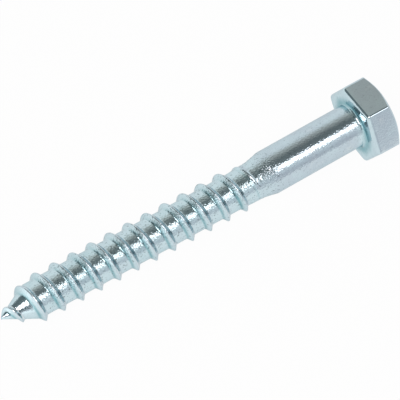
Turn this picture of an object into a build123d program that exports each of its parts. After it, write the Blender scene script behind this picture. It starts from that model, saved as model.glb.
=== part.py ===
"""Hexagon head lag screw (coach screw) of the DIN 571 pattern, M8 x 70 class.

One forged and rolled piece of steel: a hexagon head, a plain shank, a coarse wood
thread that runs out behind the shank, and a gimlet point.

The screw is drawn upright, with its point at the origin and its head up, and is then
laid on its side as it comes to rest on a bench: a flat of the head and one crest of
the thread touch z = 0. The origin is on the bench, in the middle of the screw's
footprint. The point is towards -X and the head towards +X.
"""

from build123d import *
from math import asin, atan, ceil, cos, degrees, hypot, radians, sin, tan
import os

# ---------------------------------------------------------------- sizes, mm and degrees
LENGTH = 70.25  # face under the head to the end of the point
ACROSS_FLATS = 13.0
HEAD_HEIGHT = 5.15
HEAD_RING_DIAMETER = 12.35  # flat circle that the chamfer leaves on top of the head
HEAD_CHAMFER_ANGLE = 30.0
HEAD_RIM_RADIUS = 0.8  # the edge round the face under the head
HEAD_CORNER_RADIUS = 0.5  # the six upright edges of the head, on into the rim
NECK_RADIUS = 0.5  # fillet between the shank and the head

SHANK_DIAMETER = 7.85
SHANK_LENGTH = 17.75  # face under the head to the end of the full diameter
SHANK_TAPER_LENGTH = 2.45  # from the shank's diameter down to the thread's root
TAPER_FOOT_RADIUS = 4.0  # where the taper starts from the root
TAPER_TOP_RADIUS = 0.8  # where it meets the shank

THREAD_DIAMETER = 8.05
ROOT_DIAMETER = 6.36
PITCH = 3.6
CREST_WIDTH = 0.15
POINT_SIDE_FLANK_ANGLE = 40.0  # from a plane square to the axis
HEAD_SIDE_FLANK_ANGLE = 37.0
THREAD_START_ANGLE = 15.0  # about the axis, from the side that faces the bench
RUN_OUT_LENGTH = 3.9  # the crest sinks into the root along this length
RUN_OUT_END = 49.5  # end of the point to the end of the run-out

POINT_HALF_ANGLE = 27.2
POINT_END_DIAMETER = 0.5  # the cut end of the point
POINT_CREST_RADIUS = 0.66  # the crest's radius at the cut end
POINT_CREST_LENGTH = 5.75  # end of the point to the first full crest

SINK = 0.12  # the foot of the thread's ridge lies this deep in the core

# ---------------------------------------------------------------- what follows from them
shank_radius = SHANK_DIAMETER / 2
crest_radius = THREAD_DIAMETER / 2
root_radius = ROOT_DIAMETER / 2
end_radius = POINT_END_DIAMETER / 2
ring_radius = HEAD_RING_DIAMETER / 2
flat_distance = ACROSS_FLATS / 2
point_length = (root_radius - end_radius) / tan(radians(POINT_HALF_ANGLE))
shank_start = LENGTH - SHANK_LENGTH
taper_start = shank_start - SHANK_TAPER_LENGTH
head_top = LENGTH + HEAD_HEIGHT


# ---------------------------------------------------------------- thread
def rail(start, end, turns, start_turn):
    """One helical edge of the ridge, from (radius, height) to (radius, height)."""
    rise = end[1] - start[1]
    slant = atan((end[0] - start[0]) / rise)
    edge = Edge.make_helix(
        pitch=rise / turns / cos(slant),
        height=rise,
        radius=start[0],
        center=(0, 0, start[1]),
        angle=degrees(slant),
    )
    return edge.rotate(Axis.Z, THREAD_START_ANGLE + 360 * start_turn)


def ridge_section(height, section_crest_radius, foot_radius):
    """The ridge's corners as (radius, height), from the point's side to the head's."""
    depth = section_crest_radius - foot_radius
    point_side = height - CREST_WIDTH / 2
    head_side = height + CREST_WIDTH / 2
    return [
        (foot_radius, point_side - depth * tan(radians(POINT_SIDE_FLANK_ANGLE))),
        (section_crest_radius, point_side),
        (section_crest_radius, head_side),
        (foot_radius, head_side + depth * tan(radians(HEAD_SIDE_FLANK_ANGLE))),
    ]


def ridge_piece(low, high):
    """A piece of the ridge, at most one turn long, between two of its sections."""
    turns = (high[0] - low[0]) / PITCH
    corners = zip(ridge_section(*low), ridge_section(*high))
    edges = [rail(a, b, turns, low[0] / PITCH) for a, b in corners]
    faces = [
        Face.make_surface_from_curves(edge, neighbour)
        for edge, neighbour in zip(edges, edges[1:] + edges[:1])
    ]
    for end in (0, 1):
        faces.append(Face(Wire.make_polygon([edge @ end for edge in edges], close=True)))
    return Solid(Shell(faces))


def thread_ridge():
    """The ridge's pieces: it grows along the point, runs level, and sinks away."""
    sunk_root = root_radius - SINK
    run_out_start = RUN_OUT_END - RUN_OUT_LENGTH
    stations = [
        (0.0, POINT_CREST_RADIUS, end_radius / 2),
        (POINT_CREST_LENGTH, crest_radius, sunk_root),
        (run_out_start, crest_radius, sunk_root),
        (RUN_OUT_END, root_radius - SINK / 2, sunk_root),
    ]
    pieces = []
    for start, end in zip(stations, stations[1:]):
        count = ceil((end[0] - start[0]) / PITCH)
        steps = [
            tuple(a + (b - a) * step / count for a, b in zip(start, end))
            for step in range(count + 1)
        ]
        pieces += [ridge_piece(low, high) for low, high in zip(steps, steps[1:])]
    return pieces


# ---------------------------------------------------------------- the screw, upright
with BuildPart() as upright_screw:
    # head: a hexagonal bar with one flat towards +X
    with BuildSketch(Plane.XY.offset(LENGTH)):
        RegularPolygon(flat_distance, 6, major_radius=False, rotation=30)
    extrude(amount=HEAD_HEIGHT)
    fillet(upright_screw.faces().sort_by(Axis.Z)[0].edges(), HEAD_RIM_RADIUS)
    fillet(upright_screw.edges().filter_by(Plane.XY, reverse=True), HEAD_CORNER_RADIUS)

    # chamfer: what lies outside a wide cone comes off the head's top corners
    cone_reach = ACROSS_FLATS
    cone_drop = (cone_reach - ring_radius) * tan(radians(HEAD_CHAMFER_ANGLE))
    with BuildSketch(Plane.XZ):
        with BuildLine():
            Polyline(
                (ring_radius, head_top),
                (cone_reach, head_top),
                (cone_reach, head_top - cone_drop),
                close=True,
            )
        make_face()
    revolve(axis=Axis.Z, mode=Mode.SUBTRACT)

    # core: point, root, taper and shank in one turn
    with BuildSketch(Plane.XZ) as core_section:
        with BuildLine():
            Polyline(
                (0, LENGTH),
                (0, 0),
                (end_radius, 0),
                (root_radius, point_length),
                (root_radius, taper_start),
                (shank_radius, shank_start),
                (shank_radius, LENGTH),
                close=True,
            )
        make_face()
        section_corners = core_section.vertices()
        fillet(section_corners.filter_by_position(Axis.Y, taper_start, taper_start), TAPER_FOOT_RADIUS)
        fillet(section_corners.filter_by_position(Axis.Y, shank_start, shank_start), TAPER_TOP_RADIUS)
    revolve(axis=Axis.Z)
    face_circles = upright_screw.edges().filter_by(GeomType.CIRCLE)
    face_circles = face_circles.filter_by_position(Axis.Z, LENGTH, LENGTH)
    fillet(face_circles.sort_by(SortBy.LENGTH)[-1], NECK_RADIUS)

    # thread, cut off square with the end of the point
    add(thread_ridge())
    split(bisect_by=Plane.XY, keep=Keep.TOP)

# ---------------------------------------------------------------- the screw, at rest
# The crest that touches the bench is the first full one on the side that faces it. The
# bench runs from this crest to the round rim of the head's lower flat.
start_share = THREAD_START_ANGLE / 360
contact_turn = ceil(POINT_CREST_LENGTH / PITCH + start_share)
contact_height = PITCH * (contact_turn - start_share) - CREST_WIDTH / 2
rim_run = LENGTH + HEAD_RIM_RADIUS - contact_height
rim_reach = flat_distance - HEAD_RIM_RADIUS - crest_radius
rest_tilt = atan(rim_reach / rim_run) + asin(HEAD_RIM_RADIUS / hypot(rim_run, rim_reach))
axis_run = cos(rest_tilt)
axis_rise = sin(rest_tilt)

# The point's end lies half the footprint's length from the origin.
footprint_length = head_top * axis_run + ring_radius * axis_rise
point_end = Vector(
    -footprint_length / 2, 0, crest_radius * axis_run - contact_height * axis_rise
)
rest_plane = Plane(
    origin=point_end,
    x_dir=(axis_rise, 0, -axis_run),
    z_dir=(axis_run, 0, axis_rise),
)

with BuildPart() as lag_screw:
    add(rest_plane.location * upright_screw.part)

lag_screw.part.label = "lag_screw"
os.makedirs("parts", exist_ok=True)
export_step(lag_screw.part, "parts/lag_screw.step")
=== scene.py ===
# %% [markdown]
# # A lag screw in bright zinc
#
# The real object is one piece of steel: a hexagon head, a plain shank, a coarse wood
# thread and a gimlet point. It is forged and rolled, then plated with zinc and dipped in
# a clear blue passivate, which leaves a bright and slightly cool mirror with fine grain.
#
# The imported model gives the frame: the screw's place, its tilt at rest and its box. This
# script makes a smooth skin in the same place, the finish, and a small studio round it.

import bmesh
import bpy
import numpy as np
from mathutils import Matrix, Vector


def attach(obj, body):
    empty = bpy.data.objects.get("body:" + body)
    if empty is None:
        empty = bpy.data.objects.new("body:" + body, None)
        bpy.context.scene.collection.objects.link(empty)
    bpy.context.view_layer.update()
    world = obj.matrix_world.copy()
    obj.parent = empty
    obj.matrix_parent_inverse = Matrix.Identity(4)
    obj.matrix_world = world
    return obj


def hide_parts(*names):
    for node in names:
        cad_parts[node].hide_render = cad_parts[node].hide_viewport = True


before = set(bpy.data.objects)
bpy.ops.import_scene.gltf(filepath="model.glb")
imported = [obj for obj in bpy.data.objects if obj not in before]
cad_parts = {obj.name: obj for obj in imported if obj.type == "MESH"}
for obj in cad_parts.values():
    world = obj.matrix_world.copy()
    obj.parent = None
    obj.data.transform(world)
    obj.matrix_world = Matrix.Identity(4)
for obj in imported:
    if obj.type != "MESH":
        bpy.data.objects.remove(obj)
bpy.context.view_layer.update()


# %% [markdown]
# ## Sizes
#
# Lengths are in millimetres along the screw's axis, from the end of the point (0) to the
# top of the head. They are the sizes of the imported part, so the skin lies on its solid.
# `MM` turns a length to Blender's metres at the very end.

# %% The screw's sizes
MM = 0.001
LENGTH = 70.25
ACROSS_FLATS = 13.0
HEAD_HEIGHT = 5.15
HEAD_RING_RADIUS = 6.175
HEAD_CHAMFER_ANGLE = np.radians(30.0)
HEAD_RIM_RADIUS = 0.8
SHANK_RADIUS = 3.925
SHANK_LENGTH = 17.75
SHANK_TAPER_LENGTH = 2.45
CREST_RADIUS = 4.025
ROOT_RADIUS = 3.18
PITCH = 3.6

half_flats = ACROSS_FLATS / 2
head_top = LENGTH + HEAD_HEIGHT
taper_end = LENGTH - SHANK_LENGTH
taper_start = taper_end - SHANK_TAPER_LENGTH
print(f"screw {head_top:.2f} mm long, {ACROSS_FLATS:.0f} mm across flats")

# %% [markdown]
# ## How it lies
#
# A screw on a table touches it at two places: the round rim of a head flat, and one
# thread crest near the point. So its axis drops a little towards the point. The tilt is
# the slope from the crest to the middle of the rim's arc, and the bit more that brings
# the arc itself down to the table.

# %% The tilt and the axis
THREAD_START_ANGLE = np.radians(15.0)
CREST_WIDTH = 0.15
POINT_CREST_LENGTH = 5.75

start_share = THREAD_START_ANGLE / (2 * np.pi)
contact_turn = np.ceil(POINT_CREST_LENGTH / PITCH + start_share)
contact_height = PITCH * (contact_turn - start_share) - CREST_WIDTH / 2
rim_run = LENGTH + HEAD_RIM_RADIUS - contact_height
rim_reach = half_flats - HEAD_RIM_RADIUS - CREST_RADIUS
rim_distance = np.hypot(rim_run, rim_reach)
tilt = np.arctan(rim_reach / rim_run) + np.arcsin(HEAD_RIM_RADIUS / rim_distance)
along = np.array([np.cos(tilt), 0.0, np.sin(tilt)])
bench_side = np.array([np.sin(tilt), 0.0, -np.cos(tilt)])
left_side = np.array([0.0, 1.0, 0.0])
print(f"the axis drops {np.degrees(tilt):.2f} degrees towards the point")

# %% [markdown]
# ## From sizes to places
#
# Every point of the skin is given by three sizes, as on a lathe: a height along the axis,
# a radius, and an angle. One function turns whole arrays of them to points in the frame.
#
# The real screw isn't quite straight. `BOW` lists how far its axis strays sideways, at
# most a fifth of a millimetre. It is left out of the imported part, whose sizes are simpler
# along a straight line.

# %% The screw's own cylinder coordinates
BOW = (
    (0, 0),
    (14, 0.02),
    (24, -0.01),
    (31, -0.09),
    (47, -0.1),
    (54, 0),
    (69.7, 0.2),
    (LENGTH, 0),
)
footprint = head_top * np.cos(tilt) + HEAD_RING_RADIUS * np.sin(tilt)
point_rise = CREST_RADIUS * np.cos(tilt) - contact_height * np.sin(tilt)
point_end = np.array([-footprint / 2, 0.0, point_rise])


def sideways(height):
    """How far the axis lies to the side of a straight line, in mm: straight lines between
    BOW's pairs of height and distance, and nothing past the last."""
    stations, distances = np.array(BOW, float).T
    return np.interp(height, stations, distances)


def place(height, radius, angle):
    """Point = end of the point + height x axis + sideways distance x left + radius x
    outwards direction, where the angle turns that direction from the bench side to the
    left side. In metres."""
    height, radius, angle = np.broadcast_arrays(height, radius, angle)
    outwards = np.cos(angle)[..., None] * bench_side + np.sin(angle)[..., None] * left_side
    middle = point_end + height[..., None] * along + sideways(height)[..., None] * left_side
    return MM * (middle + radius[..., None] * outwards)


print("end of the point in mm:", np.round(place(0.0, 0.0, 0.0) / MM, 2))

# %% [markdown]
# ## One set of angles for the whole screw
#
# The skin is a grid: rows run round the screw and columns along it. The hexagon decides
# where the columns lie. Each of its corners is a small arc with a few columns of its own,
# and each flat has evenly spaced ones, with one more beside each arc that keeps the flat
# flat. Shank and thread use the same columns, so round rows and hexagonal rows join.

# %% The hexagon's outline
CORNER_RADIUS = 0.5
FLAT_STEPS = 17
CORNER_STEPS = 6
BESIDE_ARC = 0.04


def hexagon_outline():
    """Angles and radii of a rounded hexagon. On a flat the radius is half the width across
    flats over the cosine of the angle from its middle. A corner is an arc of the corner
    radius that touches both flats. Six such sides follow one another."""
    arc_start = (half_flats - CORNER_RADIUS) * np.tan(np.pi / 6)
    across = np.linspace(-arc_start, arc_start, FLAT_STEPS)
    across = np.sort(np.append(across, [BESIDE_ARC - arc_start, arc_start - BESIDE_ARC]))
    turn = np.linspace(0, np.pi / 3, CORNER_STEPS + 1)[1:-1]
    arc_out = half_flats - CORNER_RADIUS + CORNER_RADIUS * np.cos(turn)
    arc_across = arc_start + CORNER_RADIUS * np.sin(turn)
    out = np.append(np.full(len(across), half_flats), arc_out)
    across = np.append(across, arc_across)
    sides = np.arange(6)[:, None] * np.pi / 3
    return (sides + np.arctan2(across, out)).ravel(), np.tile(np.hypot(out, across), 6)


column_angle, hexagon_radius = hexagon_outline()
columns = len(column_angle)
print(f"{columns} columns, {2 * hexagon_radius.max():.2f} mm over the corners")

# %% [markdown]
# ## Rounded corners without a fillet tool
#
# A forged and plated part has no razor edges. Two helpers are minimum and maximum with a
# rounded crossing. One is a smooth step and one a bell. With the first two, fillets come
# out of the formula of the surface, with no modelling step of their own.


# %% Smooth minimum, maximum, step and bell
def larger(a, b, rounding):
    """Maximum of a and b: their mean plus half of the root of (a - b)^2 + rounding^2."""
    return 0.5 * (a + b + np.sqrt((a - b) ** 2 + rounding**2))


def smaller(a, b, rounding):
    """Minimum of a and b, rounded in the same way."""
    return -larger(-a, -b, rounding)


def smooth_step(x, start, end):
    """0 before start, 1 after end, and 3t^2 - 2t^3 between them."""
    t = np.clip((x - start) / (end - start), 0, 1)
    return t * t * (3 - 2 * t)


def bell(x, middle, width):
    """1 at the middle, falling to both sides as e to the power of minus the square of the
    distance over the width."""
    return np.exp(-(((x - middle) / width) ** 2))


print("rounded maximum of 1 and 1:", larger(1.0, 1.0, 0.1))

# %% [markdown]
# ## The core
#
# The thread's valleys are the bare core: a cone at the point, a long root of one radius,
# and a taper out to the shank. Where the dies let go, in the run-out, they press less
# deep, so the root swells a little before the taper.

# %% The core's radius
POINT_SLOPE = np.tan(np.radians(27.2))
POINT_END_RADIUS = 0.25
POINT_FOOT_ROUNDING = 0.1
TAPER_FOOT_ROUNDING = 0.25
TAPER_TOP_ROUNDING = 0.04
SWELL = 0.12
SWELL_RISES = (45.5, 48.5)
SWELL_FALLS = (50.0, 52.5)


def core_radius(height):
    """The cone's radius grows with the height until the root's radius, which swells a
    little in the run-out and then eases out to the shank's radius over the taper."""
    swell = smooth_step(height, *SWELL_RISES) * (1 - smooth_step(height, *SWELL_FALLS))
    slope = (SHANK_RADIUS - ROOT_RADIUS) / SHANK_TAPER_LENGTH
    risen = ROOT_RADIUS + slope * (height - taper_start)
    taper = larger(ROOT_RADIUS, risen, TAPER_FOOT_ROUNDING)
    rolled = smaller(taper + SWELL * swell, SHANK_RADIUS, TAPER_TOP_ROUNDING)
    return smaller(POINT_END_RADIUS + POINT_SLOPE * height, rolled, POINT_FOOT_ROUNDING)


print("core in mm at 0, 20 and 60 mm:", np.round(core_radius(np.array([0.0, 20.0, 60.0])), 2))

# %% [markdown]
# ## The thread's ridge
#
# A lag screw's thread is rolled: dies press the valleys in and the steel flows out into
# thin crests, wide apart. The surface is one function of height and angle: the core or
# the ridge, whichever is larger, with a fillet between them.
#
# In the run-out the ridge doesn't sink evenly. It drops steeply to a last low ridge, which
# fades over most of a turn among faint tracks that the dies leave beside it.

# %% The ridge's sizes
POINT_FLANK = np.tan(np.radians(40.0))
HEAD_FLANK = np.tan(np.radians(37.0))
POINT_CREST_RADIUS = 0.66
POINT_CREST_ROUNDING = 0.03
RIDGE_ROUNDING = 0.02
CREST_ROUNDING = 0.06
ROOT_FILLET = 0.12
RUN_OUT_START = 45.9
RUN_OUT_END = 50.8
STEEP_END = 48.4
LAST_RIDGE = 0.3
LAST_RIDGE_START = 48.0
DIE_TRACE = 0.016
DIE_TRACE_STEP = 0.9
DIE_TRACE_RISES = (47.3, 48.3)
DIE_TRACE_FALLS = 50.0
JOIN = 51.0
print(f"root to crest {CREST_RADIUS - ROOT_RADIUS:.3f} mm")


# %% The thread's surface
def crest_at(height):
    """The crest's radius rises along the point to its full size. In the run-out it sinks,
    at first steeply to the last ridge, and then the last ridge sinks too."""
    growth = (CREST_RADIUS - POINT_CREST_RADIUS) / POINT_CREST_LENGTH
    crest = smaller(POINT_CREST_RADIUS + growth * height, CREST_RADIUS, POINT_CREST_ROUNDING)
    steep_drop = CREST_RADIUS - ROOT_RADIUS - LAST_RIDGE
    steep = steep_drop * smooth_step(height, RUN_OUT_START, STEEP_END)
    return crest - steep - LAST_RIDGE * smooth_step(height, LAST_RIDGE_START, RUN_OUT_END)


def thread_radius(height, offset):
    """The ridge is the crest's radius less a drop: the distance from the crest divided by
    the slope of each flank. The die's tracks are a cosine of the distance from the crest,
    four waves to the pitch. The fillet would lift the crest too, by its square over four
    times the crest's height, so that much comes off first."""
    crest = crest_at(height)
    point_side = (-offset - CREST_WIDTH / 2) / POINT_FLANK
    head_side = (offset - CREST_WIDTH / 2) / HEAD_FLANK
    drop = larger(larger(point_side, head_side, RIDGE_ROUNDING), 0.0, CREST_ROUNDING)
    risen = smooth_step(height, *DIE_TRACE_RISES)
    traced = risen * (1 - smooth_step(height, DIE_TRACE_FALLS, JOIN))
    trace = DIE_TRACE * np.cos(2 * np.pi * offset / DIE_TRACE_STEP) * traced
    core = core_radius(height) + trace
    fillet = ROOT_FILLET * (1 - smooth_step(height, RUN_OUT_END, JOIN))
    crest = crest - fillet**2 / 4 / np.maximum(crest - core, 0.5 * fillet + 0.001)
    return larger(crest - drop, core, fillet)


print("crest in mm at 20 and 48 mm:", np.round(thread_radius(np.array([20.0, 48.0]), 0.0), 2))

# %% [markdown]
# ## Where the finish differs
#
# The passivate runs off the crests and lingers in hollows, where its film dries thicker
# and greener. The dies leave the thread rougher than the shank, and roughest the taper,
# where they let go of the steel. The forged flats of the head are the smoothest. Two
# numbers for each point of the skin say so, and the material reads them: the film's
# thickness and the grain, each from 0 to 1.
#
# The film is made of bells round places on the ridge, given as distances from the crest:
# one low on the flank to the point, where the film is thick, and two where it is thin, on
# the crest itself, which rubs on other screws, and half-way down the flank to the head.

# %% Sizes of the film
WET_PLACE, WET_WIDTH = -0.7, 0.22
RUBBED_CREST_WIDTH = 0.1
RUBBED_PLACE, RUBBED_WIDTH = 0.45, 0.25
WET_SIDE = np.radians(240)
NECK_BELL_WIDTH = 1.1
print("thickest film", WET_PLACE, "mm from the crest")


# %% Film and grain
def film_on_thread(height, offset, angle):
    """A thin film on the lands, a thick one low on one flank and almost none where the
    ridge is rubbed: bells that fade with the ridge itself towards the shank. The last drops
    hung on one side of the screw, so the cosine of the angle from there weighs the thick
    bell."""
    flank = bell(offset, WET_PLACE, WET_WIDTH)
    rubbed = bell(offset, 0.0, RUBBED_CREST_WIDTH)
    rubbed = rubbed + 1.1 * bell(offset, RUBBED_PLACE, RUBBED_WIDTH)
    wet = np.clip(0.35 + 0.65 * np.cos(angle - WET_SIDE), 0.05, 1.0)
    ridge = 1 - smooth_step(height, RUN_OUT_START, RUN_OUT_END)
    land = 0.2 + 0.25 * (1 - smooth_step(height, 48.0, 54.0))
    return land + (0.5 * flank * wet - 0.4 * rubbed) * ridge


def film_on_head(height, radius):
    """What the head adds to the film: some on the face under it, none on its sides, and
    most in the corner, as a bell of the distance from the neck."""
    from_neck = np.hypot(height - LENGTH, radius - SHANK_RADIUS - 0.4)
    under = smooth_step(height, LENGTH - 0.4, LENGTH)
    under = under - smooth_step(height, LENGTH + 0.4, LENGTH + 1.0)
    return 0.2 * under + 0.5 * bell(from_neck, 0.0, NECK_BELL_WIDTH)


def grain_at(height):
    """Most on the taper, where the dies let go of the steel, less on the thread, still
    less on the shank and the point, and little on the head."""
    taper = smooth_step(height, 49.3, 50.5) - smooth_step(height, 52.4, 53.3)
    rolled = 0.6 - 0.3 * (1 - smooth_step(height, 5.0, 9.0))
    rolled = rolled - 0.24 * smooth_step(height, 52.0, 53.5)
    rolled = rolled + 0.28 * taper
    return rolled * (1 - 0.9 * smooth_step(height, LENGTH - 0.1, LENGTH + 0.6))


print("grain on thread, shank and head:", np.round(grain_at(np.array([20.0, 60.0, 72.0])), 2))

# %% [markdown]
# ## Winding a ribbon
#
# A crest runs slantwise round the screw, and a plain grid would cut it into steps. So the
# grid is a ribbon one pitch wide, wound round the axis like the thread itself. Its middle
# rows follow the crest, closer together there, and its edges meet on the flat land.

# %% Spacing across the ribbon
flank_share = POINT_FLANK / (POINT_FLANK + HEAD_FLANK)
BEFORE_CREST = CREST_WIDTH / 2 + (PITCH - CREST_WIDTH) * flank_share


def spaced(*stops):
    """Numbers from stop to stop: values, with a count of steps between each and the next."""
    parts = [np.array([stops[0]])]
    for (start, end), steps in zip(zip(stops[0::2], stops[2::2]), stops[1::2]):
        parts.append(np.linspace(start, end, steps + 1)[1:])
    return np.concatenate(parts)


point_half = (-BEFORE_CREST, 4, -1.35, 5, -0.85, 6, -0.2, 8)
head_half = (0.2, 5, 0.55, 5, 0.9, 5, PITCH - BEFORE_CREST)
offsets = spaced(*point_half, *head_half)
print(f"{len(offsets)} points across the ribbon")

# %% The wound ribbon
turns = int(np.ceil((JOIN + BEFORE_CREST) / PITCH)) + 1
step = np.arange(-columns, turns * columns + 1)
step_angle = column_angle[step % columns] + 2 * np.pi * (step // columns)
crest_height = PITCH * (step_angle - THREAD_START_ANGLE) / (2 * np.pi)
ribbon_height = np.clip(crest_height[:, None] + offsets, 0.0, JOIN)
from_crest = ribbon_height - crest_height[:, None] + BEFORE_CREST
from_crest = from_crest % PITCH - BEFORE_CREST
ribbon = place(ribbon_height, thread_radius(ribbon_height, from_crest), step_angle[:, None])
ribbon_film = film_on_thread(ribbon_height, from_crest, step_angle[:, None])
print(f"ribbon of {ribbon.shape[0]} x {ribbon.shape[1]} points, {turns} turns")

# %% [markdown]
# ## Shank and head
#
# From the taper on, plain rings are enough. The shank ends in a small fillet under the
# head. The head was forged and trimmed to a hexagon, which rounds its lower edge, and its
# top has a 30 degree chamfer that leaves a ring. `bend` rounds an edge between two rows.

# %% Rows of rings
NECK_RADIUS = 0.5
EDGE_RADIUS = 0.12
NEAR_TAPER_END = 0.3

ones = np.ones(columns)
quarter_turn = np.linspace(0, np.pi / 2, 9)[1:]
rings = []


def add_ring(height, radius):
    """Keeps one row of the skin: a height and a radius for each column."""
    rings.append((height * ones, radius * ones))


def bend(start, corner, end, steps=5):
    """A row for each step of the curve (1-t)^2 start + 2t(1-t) corner + t^2 end, where
    each of the three is a height and a radius."""
    for t in np.linspace(0, 1, steps + 1):
        weights = ((1 - t) ** 2, 2 * t * (1 - t), t * t)
        height, radius = (
            sum(w * p[i] for w, p in zip(weights, (start, corner, end))) for i in (0, 1)
        )
        add_ring(height, radius)


print(f"{columns} points to a ring")

# %% The shank, its neck and the face under the head
before_end, past_end = taper_end - NEAR_TAPER_END, taper_end + NEAR_TAPER_END
for height in spaced(JOIN, 8, before_end, 12, past_end, 16, LENGTH - NECK_RADIUS):
    add_ring(height, core_radius(height))
for turn in quarter_turn:
    add_ring(
        LENGTH - NECK_RADIUS * (1 - np.sin(turn)),
        SHANK_RADIUS + NECK_RADIUS * (1 - np.cos(turn)),
    )
neck_edge = SHANK_RADIUS + NECK_RADIUS
rim_start = hexagon_radius * (1 - HEAD_RIM_RADIUS / half_flats)
for share in spaced(0.0, 1, 0.03, 10, 0.97, 1, 1.0)[1:]:
    add_ring(LENGTH, neck_edge + (rim_start - neck_edge) * share)
print(f"{len(rings)} rings up to the head's rim")

# %% The head's rim and sides
for turn in quarter_turn:
    add_ring(
        LENGTH + HEAD_RIM_RADIUS * (1 - np.cos(turn)),
        rim_start + (hexagon_radius - rim_start) * np.sin(turn),
    )
chamfer_drop = (hexagon_radius - HEAD_RING_RADIUS) * np.tan(HEAD_CHAMFER_ANGLE)
chamfer_foot = head_top - chamfer_drop
side_end = chamfer_foot - EDGE_RADIUS
side_start = LENGTH + HEAD_RIM_RADIUS
for share in spaced(0.0, 1, 0.02, 12, 0.98, 1, 1.0)[1:-1]:
    add_ring(side_start + (side_end - side_start) * share, hexagon_radius)
print(f"chamfer {chamfer_drop.min():.2f} to {chamfer_drop.max():.2f} mm high")

# %% The head's chamfer and top
# A rounding reaches along the chamfer by its radius, but at most by 0.45 of half of it.
slant = EDGE_RADIUS * np.array([np.sin(HEAD_CHAMFER_ANGLE), -np.cos(HEAD_CHAMFER_ANGLE)])
slant = np.minimum(1.0, 0.45 * chamfer_drop / slant[0] / 2)[:, None] * slant
bend(
    (side_end, hexagon_radius),
    (chamfer_foot, hexagon_radius),
    (chamfer_foot + slant[:, 0], hexagon_radius + slant[:, 1]),
)
bend(
    (head_top - slant[:, 0], HEAD_RING_RADIUS - slant[:, 1]),
    (head_top, HEAD_RING_RADIUS),
    (head_top, HEAD_RING_RADIUS - EDGE_RADIUS),
)
for radius in (HEAD_RING_RADIUS - 0.2, 4.5, 2.5, 1.0, 0.0):
    add_ring(head_top, radius)
ring_height, ring_radius = np.array(rings).transpose(1, 0, 2)
shell = place(ring_height, ring_radius, column_angle)
shell_film = film_on_head(ring_height, ring_radius)
shell_film = shell_film + film_on_thread(ring_height, PITCH / 2, 0.0)
print(f"{len(shell)} rings in all")

# %% [markdown]
# ## One closed mesh
#
# The ribbon's edges meet turn after turn, its clipped ends meet the rings, and the point
# has a small flat disc. Each grid gives its own quads. Merging the points that fall on
# one another then makes a single closed skin, and the faces are turned outwards.


# %% The disc at the point
TIP_FILM = 0.45
TIP_GRAIN = 0.3

tip_share = np.linspace(0, 1, 4)[:, None]
wrap = np.append(np.arange(columns), 0)
tip_angle = column_angle[wrap]
tip_turn = -PITCH * (tip_angle - THREAD_START_ANGLE) / (2 * np.pi)
tip_offset = (tip_turn + BEFORE_CREST) % PITCH - BEFORE_CREST
tip = place(0.0, tip_share * thread_radius(0.0, tip_offset), tip_angle)
print(f"disc of {tip.shape[0]} x {tip.shape[1]} points")


# %% Grids to a mesh
def quads(grid, first):
    """Corner numbers of all quads of a grid whose points are numbered row by row."""
    rows, across = grid.shape[:2]
    corner = first + np.arange(rows * across).reshape(rows, across)
    return np.stack(
        [corner[:-1, :-1], corner[1:, :-1], corner[1:, 1:], corner[:-1, 1:]], -1
    ).reshape(-1, 4)


grids = (
    (ribbon, ribbon_film, grain_at(ribbon_height)),
    (shell[:, wrap], shell_film[:, wrap], grain_at(ring_height[:, wrap])),
    (tip, np.full(tip.shape[:2], TIP_FILM), np.full(tip.shape[:2], TIP_GRAIN)),
)
points, faces = [], []
for grid, film, grain in grids:
    faces.append(quads(grid, sum(len(p) for p in points)))
    points.append(grid.reshape(-1, 3))
mesh = bpy.data.meshes.new("lag_screw_skin")
mesh.from_pydata(np.concatenate(points), [], np.concatenate(faces).tolist())
for name, column in (("film", 1), ("grain", 2)):
    values = np.concatenate([g[column].ravel() for g in grids]).clip(0, 1)
    mesh.attributes.new(name, "FLOAT", "POINT").data.foreach_set("value", values)
print(f"{len(mesh.vertices)} points before merging")

# %% Merge, close and smooth
SAME_POINT = 0.001 * MM

work = bmesh.new()
work.from_mesh(mesh)
bmesh.ops.remove_doubles(work, verts=work.verts, dist=SAME_POINT)
bmesh.ops.recalc_face_normals(work, faces=work.faces)
open_edges = sum(not edge.is_manifold for edge in work.edges)
work.to_mesh(mesh)
work.free()
mesh.shade_smooth()
screw = bpy.data.objects.new("lag_screw_skin", mesh)
bpy.context.collection.objects.link(screw)
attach(screw, "root")
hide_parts("lag_screw")
print(f"{len(mesh.polygons)} faces, {open_edges} edges that aren't closed")

# %% [markdown]
# ## Colours and nodes
#
# Colours are written as on a paint card, in sRGB hex, and one function turns them to the
# linear numbers that Blender works with. One more function adds a node to a material.


# %% Helpers for materials
def colour(code):
    """sRGB hex to linear: below 0.04045 divide by 12.92, else ((c + 0.055) / 1.055)^2.4."""
    srgb = np.array([int(code[i : i + 2], 16) for i in (0, 2, 4)]) / 255
    linear = np.where(srgb <= 0.04045, srgb / 12.92, ((srgb + 0.055) / 1.055) ** 2.4)
    return (*linear.tolist(), 1.0)


def add(tree, kind, inputs=None, **settings):
    """Adds a node, its kind given without ShaderNode. Settings are its properties. An
    input, given by name or number, gets a value, or a link where another node's output is
    given. A Mix node has its factor at 0 and its two colours at 6 and 7."""
    node = tree.nodes.new("ShaderNode" + kind)
    for name, value in settings.items():
        setattr(node, name, value)
    for name, value in (inputs or {}).items():
        if isinstance(value, bpy.types.NodeSocket):
            tree.links.new(value, node.inputs[name])
        else:
            node.inputs[name].default_value = value
    return node


def fill(ramp, table, whole=1.0):
    """Gives a ColorRamp the places and colours of a table, its places as parts of the
    whole."""
    stops = ramp.color_ramp.elements
    while len(stops) < len(table):
        stops.new(0.5)
    for stop, (position, code) in zip(stops, table):
        stop.position = position / whole
        stop.color = colour(code)
    return ramp.outputs["Color"]


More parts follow.
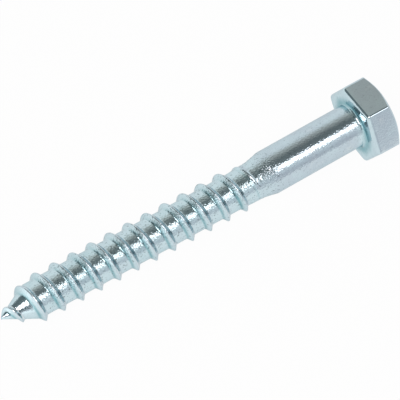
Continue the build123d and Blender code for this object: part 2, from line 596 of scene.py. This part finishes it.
def empty_tree(owner):
    """The node tree of a material or world, with nothing in it."""
    owner.use_nodes = True
    owner.node_tree.nodes.clear()
    return owner.node_tree


print("zinc as linear colour:", np.round(colour("C4D2DD"), 3))

# %% [markdown]
# ## Bright zinc with a clear blue passivate
#
# Zinc from a plating bath is a fine-grained mirror. The passivate is a film thinner than
# light's wavelength, and it tints the reflections cool, greener or bluer from place to
# place. So the base is a metal with a pale blue-grey colour and low roughness. Grain, and
# the dull spots where parts knocked together in the barrel, come from noise.

# %% The film's tint
# The film thickens and thins in clouds a few millimetres wide.
CLOUD = 4.0
UNEVEN = 0.12
FILM = ((0.0, "DDE9EB"), (0.15, "C2D1DA"), (0.45, "CDE2E8"), (1.0, "7FB0B8"))

zinc = bpy.data.materials.new("bright_zinc_plating_blue_passivate")
tree = empty_tree(zinc)
where = add(tree, "TexCoord").outputs["Object"]
cloud = add(
    tree,
    "TexNoise",
    {"Vector": where, "Scale": 1 / (CLOUD * MM), "Detail": 3.0, "Roughness": 0.6},
)
uneven = add(
    tree,
    "MapRange",
    {
        "Value": cloud.outputs["Fac"],
        "From Min": 0.3,
        "From Max": 0.7,
        "To Min": -UNEVEN,
        "To Max": UNEVEN,
    },
)
film = add(tree, "Attribute", attribute_name="film").outputs["Fac"]
thickness = add(tree, "Math", {0: film, 1: uneven.outputs["Result"]}, operation="ADD")
tint = fill(add(tree, "ValToRGB", {"Fac": thickness.outputs[0]}), FILM)
print(f"film of {len(FILM)} tints, clouds of {CLOUD} mm")

# %% Dull specks
# Most real specks are too fine to show, so these are drawn as coarse as they need to be,
# and fainter where the grain attribute is low.
SPECK = 0.4
SPECK_COLOUR = "465050"

specks = add(
    tree,
    "TexNoise",
    {"Vector": where, "Scale": 1 / (SPECK * MM), "Detail": 2.0, "Roughness": 0.6},
)
soiled = add(
    tree,
    "MapRange",
    {"Value": specks.outputs["Fac"], "From Min": 0.58, "From Max": 0.75, "To Max": 0.8},
)
rough = add(tree, "Attribute", attribute_name="grain").outputs["Fac"]
everywhere = add(
    tree, "MapRange", {"Value": rough, "From Min": 0.3, "From Max": 0.6, "To Min": 0.22}
)
soiled = add(
    tree,
    "Math",
    {0: soiled.outputs["Result"], 1: everywhere.outputs["Result"]},
    operation="MULTIPLY",
)
tint = add(
    tree, "Mix", {0: soiled.outputs[0], 6: tint, 7: colour(SPECK_COLOUR)}, data_type="RGBA"
).outputs[2]
print(f"specks of {SPECK} mm")

# %% Grain, and the metal's surface
# Zinc's own grain is about a thousandth of a millimetre, too fine to show, so it is drawn
# as coarse as it needs to be.
GRAIN = 0.3
GRAIN_HEIGHT = 0.11

grain = add(
    tree,
    "TexNoise",
    {"Vector": where, "Scale": 1 / (GRAIN * MM), "Detail": 1.5, "Roughness": 0.5},
)
bump = add(
    tree,
    "Bump",
    {"Height": grain.outputs["Fac"], "Strength": rough, "Distance": GRAIN_HEIGHT * MM},
)
shader = add(
    tree,
    "BsdfPrincipled",
    {
        "Base Color": tint,
        "Metallic": 1.0,
        "Roughness": 0.1,
        "Specular Tint": (0.75, 0.8, 0.82, 1.0),
        "Normal": bump.outputs["Normal"],
    },
)
add(tree, "OutputMaterial", {"Surface": shader.outputs["BSDF"]})
screw.data.materials.append(zinc)
print(f"material {zinc.name}, grain of {GRAIN} mm")

# %% [markdown]
# ## A plain pale floor
#
# The floor is matt and nearly white. To the camera, and in the metal's reflections, most
# of it is plain white light, so that the ground looks white without more light on the
# screw. The matt rest keeps a soft shadow.
#
# Metal mirrors the floor too, and a studio floor is brightest where its lamp points. So
# one round patch, beyond the point, is a painted pool of light: its glow is half as bright
# again, in reflections only.

# %% The floor
FLOOR_REACH = 3.0

corners = ((-1, -1), (1, -1), (1, 1), (-1, 1))
floor_mesh = bpy.data.meshes.new("floor")
floor_mesh.from_pydata(
    [(FLOOR_REACH * x, FLOOR_REACH * y, 0.0) for x, y in corners], [], [(0, 1, 2, 3)]
)
floor = bpy.data.objects.new("floor", floor_mesh)
bpy.context.collection.objects.link(floor)
print(f"floor of {2 * FLOOR_REACH:.0f} x {2 * FLOOR_REACH:.0f} m")

# %% How much of the floor is light
CAMERA_GLOW = 0.96
GLOSSY_GLOW = 0.8

paper = bpy.data.materials.new("matt_white_paper")
tree = empty_tree(paper)
rays = add(tree, "LightPath")
mirrored = add(
    tree,
    "Math",
    {0: rays.outputs["Is Glossy Ray"], 1: rays.outputs["Is Transmission Ray"]},
    operation="MAXIMUM",
)
share = add(tree, "Math", {0: mirrored.outputs[0], 1: GLOSSY_GLOW}, operation="MULTIPLY")
share = add(
    tree,
    "Math",
    {0: rays.outputs["Is Camera Ray"], 1: CAMERA_GLOW, 2: share.outputs[0]},
    operation="MULTIPLY_ADD",
)
print(f"light to the camera {CAMERA_GLOW}, to the metal {GLOSSY_GLOW}")

# %% The floor's painted pool of light, and its material
# A painted pool of light: where it lies on the floor, its full and outer radius, and how much
# more it glows in reflections.
PAINTED_POOL_MIDDLE = (-0.13, -0.03, 0.0)
PAINTED_POOL_RADIUS = 0.07
PAINTED_POOL_EDGE = 0.1
PAINTED_POOL_GAIN = 0.5

matt = add(tree, "BsdfDiffuse", {"Color": colour("F4F4F4")})
floor_place = add(tree, "TexCoord").outputs["Object"]
from_painted_pool = add(tree, "VectorMath", {0: floor_place, 1: PAINTED_POOL_MIDDLE}, operation="DISTANCE")
painted_pool_peak = add(
    tree, "Math", {0: mirrored.outputs[0], 1: PAINTED_POOL_GAIN, 2: 1.0}, operation="MULTIPLY_ADD"
)
# The painted pool of light: the floor's glow rises from 1 beyond its outer radius to 1.5 in
# reflections inside its full radius.
bright = add(
    tree,
    "MapRange",
    {
        "Value": from_painted_pool.outputs["Value"],
        "From Min": PAINTED_POOL_EDGE,
        "From Max": PAINTED_POOL_RADIUS,
        "To Min": 1.0,
        "To Max": painted_pool_peak.outputs[0],
    },
)
glow = add(tree, "Emission", {"Color": (1, 1, 1, 1), "Strength": bright.outputs["Result"]})
mixed = add(
    tree,
    "MixShader",
    {0: share.outputs[0], 1: matt.outputs["BSDF"], 2: glow.outputs["Emission"]},
)
add(tree, "OutputMaterial", {"Surface": mixed.outputs["Shader"]})
floor_mesh.materials.append(paper)
print(f"bright patch of {2000 * PAINTED_POOL_RADIUS:.0f} mm")

# %% [markdown]
# ## The room round the screw
#
# Polished metal has hardly a look of its own: it shows the room. A product studio is a
# white sweep that rises behind the object, a dark ceiling, a grey wall by the camera and
# long soft boxes. The room is a gradient on the world. It turns about the X axis, along
# which the screw lies: 0 degrees is level to the front, 90 is up, 180 is level to the back.
#
# A real room isn't the same from end to end. Each table below lists pairs of degrees and
# colour for one part of it, and each part fades into the next along X. A bright card
# stands at the far left end, where the flanks that face the point mirror it.

# %% The room's colours
MIDDLE = (
    (0, "D0D0D5"),
    (18, "D0D1D6"),
    (27, "DDE0E4"),
    (36, "F4F6F8"),
    (44, "808686"),
    (78, "7A8080"),
    (92, "6E7474"),
    (106, "959693"),
    (122, "BFBFBA"),
    (139, "EEF0F0"),
    (155, "F4F5F5"),
    (180, "F6F6F6"),
)
LEFT = ((11, "D0D0D5"), (16, "6E7678"), (150, "6E7678"), (158, "F4F5F5"))
FURTHER_LEFT = (
    (30, "D0D0D5"),
    (45, "A4A9A9"),
    (100, "A0A5A5"),
    (118, "6E7678"),
    (150, "6E7678"),
    (158, "F4F5F5"),
)
FAR_LEFT = (
    (0, "E8EAEA"),
    (40, "B8BEBE"),
    (60, "A4AAAA"),
    (110, "A4AAAA"),
    (140, "EEF0F0"),
)
RIGHT = ((5, "D0D0D5"), (12, "343232"), (47, "343232"), (57, "F2F4F4"), (140, "FFFFFF"))
FAR_RIGHT = ((0, "A0A6A8"), (45, "A0A6A8"), (70, "E4E6E6"), (180, "E4E6E6"))

# Each row is a part's colours and the two places between which it takes over. Places are
# the X of a direction, from -1 at the left end of the room to 1 at the right end.
SIDES = (
    (LEFT, -0.28, -0.38),
    (FURTHER_LEFT, -0.64, -0.7),
    (FAR_LEFT, -0.87, -0.92),
    (RIGHT, 0.55, 0.65),
    (FAR_RIGHT, 0.83, 0.87),
)
print(f"{1 + len(SIDES)} parts of the room")

# %% The turn about the X axis
HALF_TURN = 180

world = bpy.data.worlds.new("studio")
bpy.context.scene.world = world
tree = empty_tree(world)
direction = add(tree, "TexCoord").outputs["Generated"]
parts = add(tree, "SeparateXYZ", {"Vector": direction})
front = add(tree, "Math", {0: parts.outputs["Y"], 1: -1.0}, operation="MULTIPLY")
turn = add(
    tree, "Math", {0: parts.outputs["Z"], 1: front.outputs[0]}, operation="ARCTAN2"
)
turned = add(
    tree, "MapRange", {"Value": turn.outputs[0], "From Min": 0.0, "From Max": np.pi}
)
across = parts.outputs["X"]
print(f"the room turns through {HALF_TURN} degrees")

# %% The room's walls
walls = fill(add(tree, "ValToRGB", {"Fac": turned.outputs["Result"]}), MIDDLE, HALF_TURN)
for table, start, end in SIDES:
    share = add(tree, "MapRange", {"Value": across, "From Min": start, "From Max": end})
    ramp = add(tree, "ValToRGB", {"Fac": turned.outputs["Result"]})
    side = fill(ramp, table, HALF_TURN)
    walls = add(
        tree, "Mix", {0: share.outputs["Result"], 6: walls, 7: side}, data_type="RGBA"
    ).outputs[2]
print(f"{len(MIDDLE) + sum(len(table) for table, _, _ in SIDES)} colours on the walls")

# %% The bright card at the left end
CARD_GLOW = 1.7
CARD_TURN = np.radians(50), np.radians(32)
CARD_START, CARD_END = -0.925, -0.945

end_card = add(
    tree, "MapRange", {"Value": across, "From Min": CARD_START, "From Max": CARD_END}
)
card_turn = add(
    tree,
    "MapRange",
    {"Value": turn.outputs[0], "From Min": CARD_TURN[0], "From Max": CARD_TURN[1]},
)
card = add(
    tree,
    "Math",
    {0: end_card.outputs["Result"], 1: card_turn.outputs["Result"]},
    operation="MULTIPLY",
)
walls = add(
    tree,
    "Mix",
    {0: card.outputs[0], 6: walls, 7: (CARD_GLOW, CARD_GLOW, CARD_GLOW, 1.0)},
    data_type="RGBA",
).outputs[2]
room = add(tree, "Background", {"Color": walls, "Strength": 1.0})
print(f"card of strength {CARD_GLOW}")

# %% White ground for the camera
rays = add(tree, "LightPath")
white = add(tree, "Background", {"Color": (1, 1, 1, 1), "Strength": 1.0})
mixed = add(
    tree,
    "MixShader",
    {
        0: rays.outputs["Is Camera Ray"],
        1: room.outputs["Background"],
        2: white.outputs["Background"],
    },
)
add(tree, "OutputWorld", {"Surface": mixed.outputs["Shader"]})
print("the world is white to the camera")

# %% [markdown]
# ## The soft boxes
#
# Two long lamps stand above the front. The right one gives the sharp white line along the
# shank and the lands. The left one shows where the steel leans a little to the point: on
# the point's cone, and on the rounded edges of the ridge. Both are more than a metre away
# and slightly warm, which evens out the cool film. Their power follows from how bright
# their faces should look: power = radiance x pi x area.

# %% The lamps
LAMP_REACH = 1.5


def soft_box(name, turn, spread, start, end, radiance, hue):
    """A long lamp beside the X axis, at the lamps' reach and a turn about it (0 front, 90
    up), as wide as its spread, from start to end along X. Turn and spread are in degrees,
    and the hue is sRGB hex. The power is the radiance x pi x area."""
    turn = np.radians(turn)
    light = bpy.data.lights.new(name, "AREA")
    light.shape = "RECTANGLE"
    light.size = end - start
    light.size_y = 2 * LAMP_REACH * np.tan(np.radians(spread) / 2)
    light.energy = radiance * np.pi * light.size * light.size_y
    light.color = colour(hue)[:3]
    lamp = bpy.data.objects.new(name, light)
    bpy.context.collection.objects.link(lamp)
    outwards = np.array([0.0, -np.cos(turn), np.sin(turn)])
    lengthways = np.array([1.0, 0.0, 0.0])
    turned_to = Matrix([lengthways, np.cross(outwards, lengthways), outwards]).transposed()
    middle = LAMP_REACH * outwards + lengthways * (start + end) / 2
    lamp.matrix_world = Matrix.Translation(middle) @ turned_to.to_4x4()
    print(f"{name}: {light.energy:.1f} W")


soft_box("right_soft_box", 54.5, 22.5, 0.15, 0.90, 2.3, "FFF7F7")
soft_box("left_soft_box", 66, 36, -1.65, -0.60, 5.1, "FFEEEE")

# %% [markdown]
# ## The camera
#
# A long lens from half a metre away looks down on the screw from its point's side. The
# camera is placed by its turn about the vertical, its angle below the level and a small
# roll about its own line of sight.

# %% The camera's directions
TURN = np.radians(34.93)
LOOK_DOWN = np.radians(54.783)
ROLL = np.radians(2.26)
DISTANCE = 0.5
TARGET = np.array([1.064, 0.066, 7.971]) * MM

right = np.array([np.cos(TURN), -np.sin(TURN), 0.0])
level = np.array([np.sin(TURN), np.cos(TURN), 0.0])
upright = np.array([0.0, 0.0, 1.0])
sight = level * np.cos(LOOK_DOWN) - upright * np.sin(LOOK_DOWN)
up = level * np.sin(LOOK_DOWN) + upright * np.cos(LOOK_DOWN)
camera_right = np.cos(ROLL) * right + np.sin(ROLL) * up
camera_up = np.cos(ROLL) * up - np.sin(ROLL) * right
print("line of sight", np.round(sight, 3))

# %% The camera itself
SENSOR_WIDTH = 36.0
FOCAL_LENGTH = 268.8

camera_data = bpy.data.cameras.new("camera")
camera_data.sensor_width = SENSOR_WIDTH
camera_data.lens = FOCAL_LENGTH
camera_data.clip_start, camera_data.clip_end = 0.01, 20.0
camera = bpy.data.objects.new("camera", camera_data)
bpy.context.collection.objects.link(camera)
turned_to = Matrix([Vector(v) for v in (camera_right, camera_up, -sight)]).transposed()
eye = Vector(TARGET - DISTANCE * sight)
camera.matrix_world = Matrix.Translation(eye) @ turned_to.to_4x4()
bpy.context.scene.camera = camera
bpy.context.scene.view_settings.view_transform = "Standard"
print("camera at", [round(c, 3) for c in eye])
